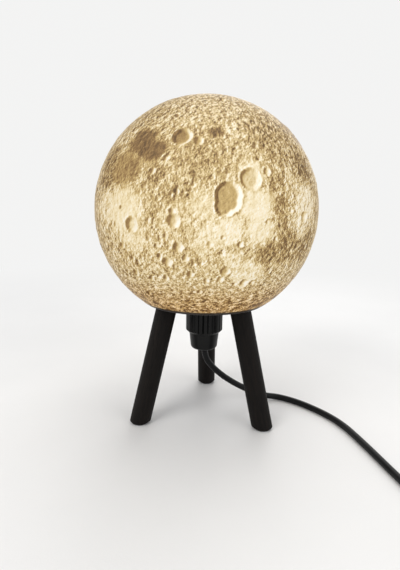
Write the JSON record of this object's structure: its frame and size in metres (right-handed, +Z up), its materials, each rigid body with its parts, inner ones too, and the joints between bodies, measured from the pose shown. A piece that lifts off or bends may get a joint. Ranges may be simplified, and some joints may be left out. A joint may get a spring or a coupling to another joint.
{
  "type": "globe table lamp",
  "caption": "Glowing cratered globe on a thin round plate with splayed round wooden legs, a bulb holder below the plate and a black cord with a rocker switch and plug.",
  "frame": {"origin": "centre of the circle of feet on the table, under the middle of the globe", "axes": "+Z up, +Y towards the rear leg, +X to the right seen from the front"},
  "size_m": [0.4212, 0.255, 0.2946],
  "materials": {
    "globe_print": "printed warm cream, lit from inside",
    "plate_print": "dark red-brown, satin",
    "leg_wood": "black-brown stain, faint lengthwise grain",
    "zinc_steel": "zinc plated",
    "holder_plastic": "moulded black, semi-gloss",
    "contact_ceramic": "unglazed",
    "contact_brass": "plain strip",
    "grip_plastic": "natural",
    "bulb_shell_metal": "bright",
    "bulb_insulator_glass": "black glaze",
    "bulb_housing_plastic": "white",
    "board_aluminium": "white coated",
    "chip_phosphor": "yellow, lit",
    "bulb_opal": "opal, lit",
    "cord_sheath": "satin black",
    "switch_plastic": "semi-gloss",
    "rocker_plastic": "gloss",
    "plug_plastic": "moulded black",
    "pin_metal": "nickel plated"
  },
  "bodies": {
    "root": {"base_plate": "plate_print", "leg_front_left": "leg_wood", "leg_front_right": "leg_wood", "leg_rear": "leg_wood", "leg_screws": "zinc_steel", "lower_clamp_ring": "holder_plastic", "upper_clamp_ring": "holder_plastic", "holder_sleeve": "holder_plastic", "holder_cap": "holder_plastic", "contact_block": "contact_ceramic", "contact_shell": "contact_brass", "centre_contact": "contact_brass", "terminal_screws": "zinc_steel", "cord_grip": "grip_plastic", "grip_screw": "zinc_steel", "bulb_screw_shell": "bulb_shell_metal", "bulb_insulator": "bulb_insulator_glass", "bulb_tip": "bulb_shell_metal", "bulb_housing": "bulb_housing_plastic", "led_board": "board_aluminium", "led_chips": "chip_phosphor", "bulb_diffuser": "bulb_opal", "cord_lead": "cord_sheath", "cord_tail": "cord_sheath", "cord_end": "cord_sheath", "cord_coil": "cord_sheath", "switch_base": "switch_plastic", "switch_cover": "switch_plastic", "rocker_pin": "zinc_steel", "switch_contacts": "contact_brass", "switch_screws": "zinc_steel", "plug_body": "plug_plastic", "plug_pins": "pin_metal"},
    "globe": {"globe_shell": "globe_print"},
    "rocker": {"switch_rocker": "rocker_plastic"}
  },
  "joints": [
    {"name": "globe_lift", "type": "slide", "parent": "root", "child": "globe", "axis": [0, 0, 1], "range_m": [0, 0.07]},
    {"name": "rocker_tilt", "type": "hinge", "parent": "root", "child": "rocker", "pos_m": [0.236, -0.142, 0.0125], "axis": [0, 1, 0], "range_deg": [-16, 0]}
  ]
}
